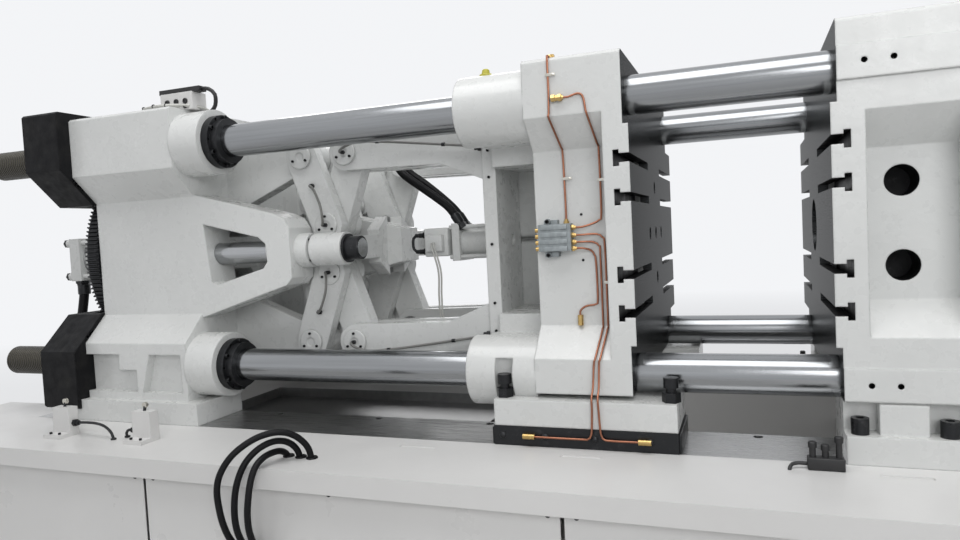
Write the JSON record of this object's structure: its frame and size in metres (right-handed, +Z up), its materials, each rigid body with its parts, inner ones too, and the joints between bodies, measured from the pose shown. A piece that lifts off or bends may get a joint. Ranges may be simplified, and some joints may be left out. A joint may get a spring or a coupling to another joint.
{
  "type": "injection moulding machine",
  "caption": "Toggle-clamp injection moulding machine: bed, tie bars, folding links between platens, mould height ring gear and a sliding screw unit.",
  "frame": {"origin": "on the floor under the middle of the machine, in line with the fixed platen's face plane", "axes": "+X from the clamp towards the injection unit, +Y away from the operator's side, +Z up"},
  "size_m": [6.5, 1.9698, 1.912],
  "materials": {
    "white_paint": "gloss",
    "bed_paint": "gloss",
    "panel_paint": "satin",
    "grey_paint": "satin",
    "motor_paint": "satin",
    "black_paint": "satin",
    "ground_steel": "ground",
    "hard_chrome": "polished",
    "dark_steel": "heat darkened",
    "band_steel": "satin",
    "bright_sheet": "brushed",
    "galvanised": "matt",
    "dark_iron": "matt",
    "black_oxide": "oiled",
    "zinc_block": "satin",
    "copper_tube": "satin",
    "brass_fitting": "polished",
    "hose_rubber": "matt"
  },
  "bodies": {
    "bed": {"bed_frame": "bed_paint", "bed_top_plates": "white_paint", "side_panels": "panel_paint", "slide_rails": "ground_steel", "chip_tray": "galvanised", "levelling_pads": "dark_iron", "fixed_platen": "white_paint", "platen_bolts": "black_oxide", "locating_ring": "ground_steel", "tie_bar_front_upper": "hard_chrome", "tie_bar_front_lower": "hard_chrome", "tie_bar_rear_upper": "hard_chrome", "tie_bar_rear_lower": "hard_chrome", "tie_bar_end_nuts": "black_oxide", "limit_switches": "grey_paint", "bed_hoses": "hose_rubber", "injection_base": "bed_paint"},
    "tail": {"tail_platen": "white_paint", "bar_collars": "black_oxide", "guide_bushes": "white_paint", "ring_rollers": "ground_steel", "nut_covers": "black_paint", "adjust_motor": "grey_paint", "clamp_cylinder": "white_paint", "cylinder_hoses": "hose_rubber", "junction_box": "grey_paint", "rear_toggle_pins": "ground_steel"},
    "ring": {"ring_gear": "black_oxide"},
    "pinion": {"adjust_pinion": "ground_steel"},
    "nut_front_upper": {"nut_front_upper": "black_oxide"},
    "nut_front_lower": {"nut_front_lower": "black_oxide"},
    "nut_rear_upper": {"nut_rear_upper": "black_oxide"},
    "nut_rear_lower": {"nut_rear_lower": "black_oxide"},
    "rear_link_upper": {"rear_links_upper": "white_paint", "elbow_pins_upper": "ground_steel"},
    "rear_link_lower": {"rear_links_lower": "white_paint", "elbow_pins_lower": "ground_steel"},
    "front_link_upper": {"front_links_upper": "white_paint"},
    "front_link_lower": {"front_links_lower": "white_paint"},
    "small_link_upper": {"small_links_upper": "white_paint"},
    "small_link_lower": {"small_links_lower": "white_paint"},
    "crosshead": {"crosshead": "white_paint", "guide_rods": "hard_chrome", "guide_rod_nuts": "black_oxide", "piston_rod": "hard_chrome"},
    "moving": {"moving_platen": "white_paint", "front_toggle_pins": "ground_steel", "slide_shoes": "black_oxide", "jack_bolts": "black_oxide", "ejector_cylinder": "white_paint", "distributor_block": "zinc_block", "copper_pipes": "copper_tube", "brass_fittings": "brass_fitting"},
    "ejector": {"ejector_plate": "ground_steel"},
    "carriage": {"injection_carriage": "white_paint", "barrel": "dark_steel", "heater_bands": "band_steel", "hopper": "bright_sheet"},
    "plasticiser_drive": {"screw_motor": "motor_paint"},
    "screw": {"injection_screw": "ground_steel"}
  },
  "joints": [
    {"name": "clamp", "type": "hinge", "parent": "tail", "child": "rear_link_upper", "pos_m": [-1.69, 0, 1.612], "axis": [0, -1, 0], "range_deg": [0, 70]},
    {"name": "upper_elbow", "type": "hinge", "parent": "rear_link_upper", "child": "front_link_upper", "pos_m": [-1.60039, 0, 1.3658], "axis": [0, -1, 0], "range_deg": [-140, 0]},
    {"name": "upper_platen_pin", "type": "hinge", "parent": "front_link_upper", "child": "moving", "pos_m": [-1.51078, 0, 1.612], "axis": [0, -1, 0], "range_deg": [0, 70]},
    {"name": "lower_rear_pin", "type": "hinge", "parent": "tail", "child": "rear_link_lower", "pos_m": [-1.69, 0, 0.952], "axis": [0, -1, 0], "range_deg": [-70, 0]},
    {"name": "lower_elbow", "type": "hinge", "parent": "rear_link_lower", "child": "front_link_lower", "pos_m": [-1.60039, 0, 1.1982], "axis": [0, -1, 0], "range_deg": [0, 140]},
    {"name": "upper_drive_pin", "type": "hinge", "parent": "rear_link_upper", "child": "small_link_upper", "pos_m": [-1.734, 0, 1.44779], "axis": [0, -1, 0], "range_deg": [-140, 0]},
    {"name": "crosshead_pin", "type": "hinge", "parent": "small_link_upper", "child": "crosshead", "pos_m": [-1.778, 0, 1.612], "axis": [0, -1, 0], "range_deg": [0, 70]},
    {"name": "lower_drive_pin", "type": "hinge", "parent": "rear_link_lower", "child": "small_link_lower", "pos_m": [-1.734, 0, 1.11621], "axis": [0, -1, 0], "range_deg": [0, 140]},
    {"name": "mould_height", "type": "slide", "parent": "bed", "child": "tail", "axis": [1, 0, 0], "range_m": [-0.195, 0.045]},
    {"name": "ring_turn", "type": "hinge", "parent": "tail", "child": "ring", "pos_m": [-2.5475, 0, 1.282], "axis": [1, 0, 0], "range_deg": [-2154, 497.2]},
    {"name": "pinion_turn", "type": "hinge", "parent": "tail", "child": "pinion", "pos_m": [-2.5475, 0, 1.76854], "axis": [1, 0, 0], "range_deg": [-4860.2, 21060.2]},
    {"name": "nut_turn_front_upper", "type": "hinge", "parent": "tail", "child": "nut_front_upper", "pos_m": [-2.5475, -0.425, 1.672], "axis": [1, 0, 0], "range_deg": [-1620.1, 7020.2]},
    {"name": "nut_turn_front_lower", "type": "hinge", "parent": "tail", "child": "nut_front_lower", "pos_m": [-2.5475, -0.425, 0.892], "axis": [1, 0, 0], "range_deg": [-1620.1, 7020.2]},
    {"name": "nut_turn_rear_upper", "type": "hinge", "parent": "tail", "child": "nut_rear_upper", "pos_m": [-2.5475, 0.425, 1.672], "axis": [1, 0, 0], "range_deg": [-1620.1, 7020.2]},
    {"name": "nut_turn_rear_lower", "type": "hinge", "parent": "tail", "child": "nut_rear_lower", "pos_m": [-2.5475, 0.425, 0.892], "axis": [1, 0, 0], "range_deg": [-1620.1, 7020.2]},
    {"name": "ejector_slide", "type": "slide", "parent": "moving", "child": "ejector", "axis": [1, 0, 0], "range_m": [0, 0.1]},
    {"name": "carriage_slide", "type": "slide", "parent": "bed", "child": "carriage", "axis": [1, 0, 0], "range_m": [-0.49, 0.1]},
    {"name": "injection_slide", "type": "slide", "parent": "carriage", "child": "plasticiser_drive", "axis": [1, 0, 0], "range_m": [0, 0.2]},
    {"name": "screw_turn", "type": "hinge", "parent": "plasticiser_drive", "child": "screw", "pos_m": [1.8, 0, 1.282], "axis": [1, 0, 0], "continuous": true}
  ],
  "couplings": [
    {"joint": "upper_elbow", "follows": "clamp", "ratio": -2},
    {"joint": "upper_platen_pin", "follows": "clamp", "ratio": 1},
    {"joint": "lower_rear_pin", "follows": "clamp", "ratio": -1},
    {"joint": "lower_elbow", "follows": "clamp", "ratio": 2},
    {"joint": "upper_drive_pin", "follows": "clamp", "ratio": -2},
    {"joint": "crosshead_pin", "follows": "clamp", "ratio": 1},
    {"joint": "lower_drive_pin", "follows": "clamp", "ratio": 2},
    {"joint": "ring_turn", "follows": "mould_height", "rad_per_m": 192.78},
    {"joint": "pinion_turn", "follows": "mould_height", "rad_per_m": -1885},
    {"joint": "nut_turn_front_upper", "follows": "mould_height", "rad_per_m": -628.32},
    {"joint": "nut_turn_front_lower", "follows": "mould_height", "rad_per_m": -628.32},
    {"joint": "nut_turn_rear_upper", "follows": "mould_height", "rad_per_m": -628.32},
    {"joint": "nut_turn_rear_lower", "follows": "mould_height", "rad_per_m": -628.32}
  ]
}
